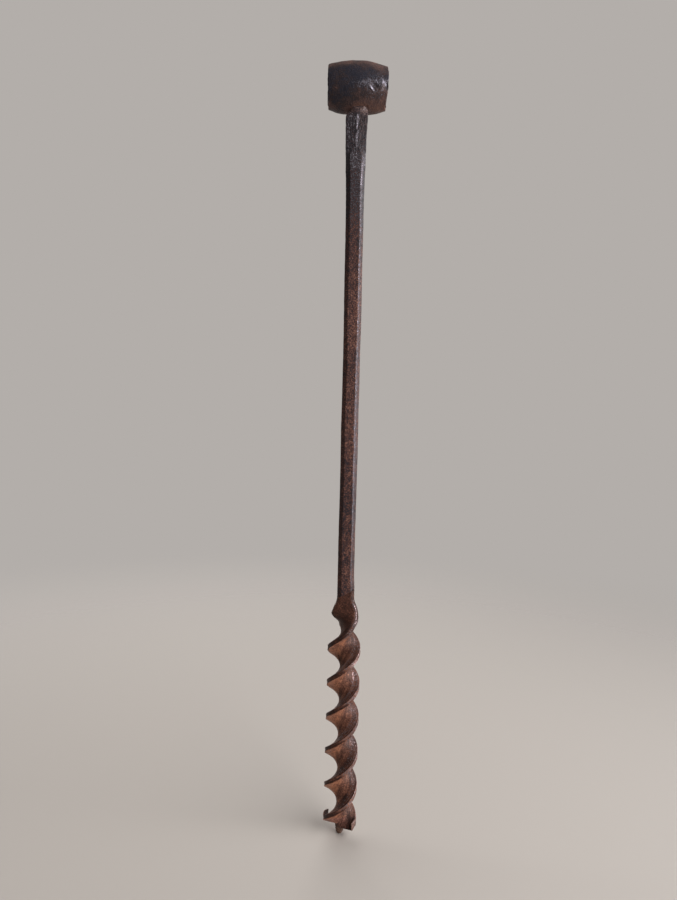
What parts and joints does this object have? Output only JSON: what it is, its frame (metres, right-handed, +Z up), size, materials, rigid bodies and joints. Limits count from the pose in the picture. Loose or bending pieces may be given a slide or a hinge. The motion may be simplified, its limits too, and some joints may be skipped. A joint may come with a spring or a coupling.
{
  "type": "hand auger",
  "caption": "Forged eye auger for boring wood: a barrel-shaped handle eye, a long eight-sided shank, a right-hand twisted strip and a cutting end with lips, wings and a lead screw.",
  "frame": {"origin": "centre of the eye, where the axis of the cross handle meets the boring axis", "axes": "+X along the hole for the cross handle, +Z up the boring axis, so the cutting end points to -Z"},
  "size_m": [0.046, 0.0364, 0.5978],
  "materials": {
    "eye_iron": "forged wrought iron with black scale and brown rust, waxed by handling",
    "neck_iron": "hammered wrought iron, blue-grey and rubbed",
    "shank_iron": "forged wrought iron with a fine red-brown rust patina",
    "twist_iron": "twisted wrought iron with an orange-brown rust patina, worn on its edges",
    "lip_steel": "ground tool steel, rusted over",
    "wing_steel": "forged tool steel, rusted over and worn bright on the outside",
    "screw_iron": "worn iron stub, dark grey and brown"
  },
  "bodies": {
    "root": {"handle_eye": "eye_iron", "neck": "neck_iron", "shank": "shank_iron", "twist": "twist_iron", "right_lip": "lip_steel", "left_lip": "lip_steel", "right_wing": "wing_steel", "left_wing": "wing_steel", "lead_screw": "screw_iron"}
  },
  "joints": []
}
